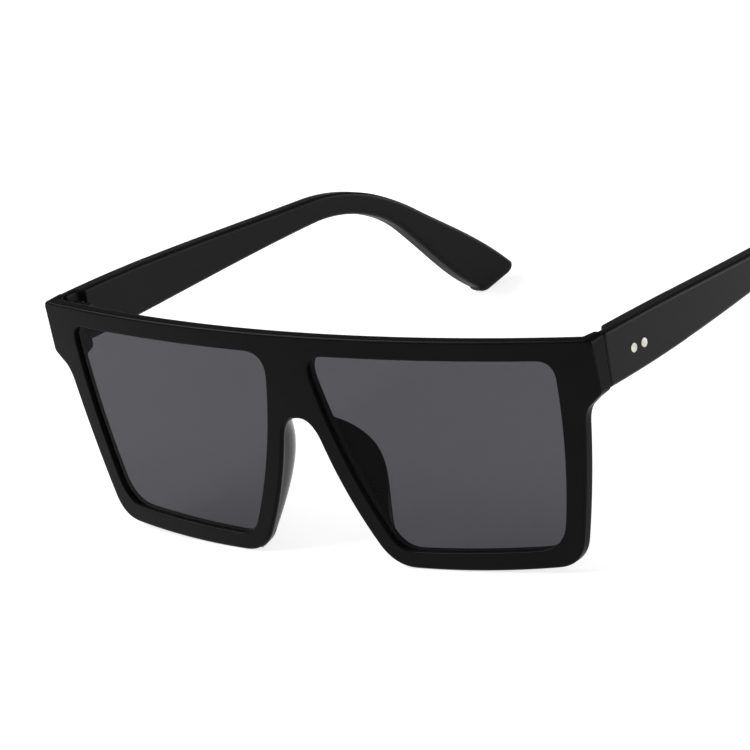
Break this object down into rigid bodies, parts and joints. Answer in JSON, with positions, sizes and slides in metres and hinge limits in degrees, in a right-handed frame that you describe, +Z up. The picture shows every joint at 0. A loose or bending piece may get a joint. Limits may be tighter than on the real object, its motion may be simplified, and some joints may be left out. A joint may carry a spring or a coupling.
{
  "type": "square sunglasses",
  "caption": "Oversized square flat-top sunglasses with a one-piece moulded black front, grey tinted lenses and temples that fold inwards on screwed barrel hinges.",
  "frame": {"origin": "middle of the footprint, on the surface that the lower rims and the temple tips stand on", "axes": "+X to the wearer's left, -Y the way the front faces, +Y back along the temples, +Z up"},
  "size_m": [0.15, 0.14, 0.0505],
  "materials": {
    "frame_plastic": "satin black injection-moulded plastic",
    "temple_plastic": "satin black injection-moulded plastic",
    "lens_tint": "grey tinted, clear to see through, smooth",
    "hinge_metal": "black-plated steel",
    "screw_metal": "black-plated steel",
    "rivet_metal": "pale nickel silver, lightly brushed"
  },
  "bodies": {
    "front": {"front_frame": "frame_plastic", "lens_left": "lens_tint", "lens_right": "lens_tint", "front_hinge_left": "hinge_metal", "front_hinge_right": "hinge_metal", "hinge_screw_left": "screw_metal", "hinge_screw_right": "screw_metal"},
    "left_arm": {"temple_left": "temple_plastic", "temple_hinge_left": "hinge_metal", "temple_rivets_left": "rivet_metal"},
    "right_arm": {"temple_right": "temple_plastic", "temple_hinge_right": "hinge_metal", "temple_rivets_right": "rivet_metal"}
  },
  "joints": [
    {"name": "left_fold", "type": "hinge", "parent": "front", "child": "left_arm", "pos_m": [0.07084, -0.05443, 0.04381], "axis": [0, 0.1198, 0.9928], "range_deg": [0, 85]},
    {"name": "right_fold", "type": "hinge", "parent": "front", "child": "right_arm", "pos_m": [-0.07084, -0.05443, 0.04381], "axis": [0, -0.1198, -0.9928], "range_deg": [0, 80]}
  ]
}
